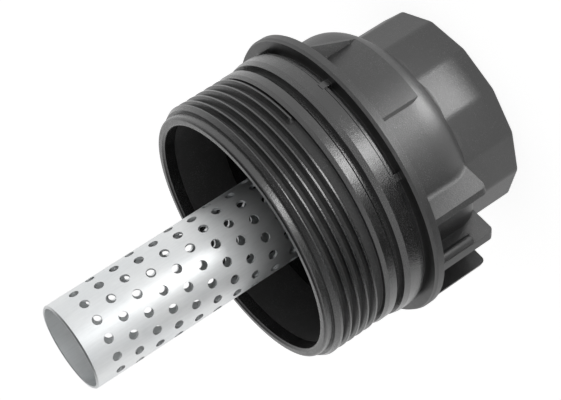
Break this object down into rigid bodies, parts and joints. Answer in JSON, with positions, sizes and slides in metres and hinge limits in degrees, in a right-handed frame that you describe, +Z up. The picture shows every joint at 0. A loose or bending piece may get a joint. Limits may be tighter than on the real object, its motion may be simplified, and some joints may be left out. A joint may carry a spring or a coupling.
{
  "type": "oil filter cap",
  "caption": "Screw-on cap for a cartridge oil filter, with polygonal wrench drive, housing thread, perforated centre tube and drain plug.",
  "frame": {"origin": "centre of the wrench drive's end face, on which the cap stands", "axes": "+Z up the cap's axis, from the drive through the mouth to the free end of the tube; -Y faces the picture's camera"},
  "size_m": [0.0944, 0.0944, 0.1406],
  "materials": {
    "cap_plastic": "satin glass-filled nylon",
    "zinc_plated_steel": "satin zinc plating",
    "plug_aluminium": "turned",
    "seal_rubber": "matt",
    "valve_plastic": "matt",
    "spring_steel": "drawn wire"
  },
  "bodies": {
    "cap": {"cap_body": "cap_plastic", "perforated_tube": "zinc_plated_steel", "valve_retainer": "valve_plastic", "valve_spring": "spring_steel"},
    "plug_ring": {"drain_plug_seal": "seal_rubber"},
    "plug": {"drain_plug": "plug_aluminium"},
    "valve": {"drain_valve": "valve_plastic"}
  },
  "joints": [
    {"name": "plug_travel", "type": "slide", "parent": "cap", "child": "plug_ring", "axis": [0, 0, -1], "range_m": [0, 0.0075]},
    {"name": "plug_turn", "type": "hinge", "parent": "plug_ring", "child": "plug", "pos_m": [0, 0, 0], "axis": [0, 0, -1], "range_deg": [0, 1800]},
    {"name": "valve_lift", "type": "slide", "parent": "cap", "child": "valve", "axis": [0, 0, 1], "range_m": [0, 0.0045], "stiffness_N_per_m": 400, "springref_m": -0.004, "deforming": ["valve_spring"]}
  ],
  "couplings": [
    {"joint": "plug_travel", "follows": "plug_turn", "m_per_rad": 0.00023873}
  ]
}
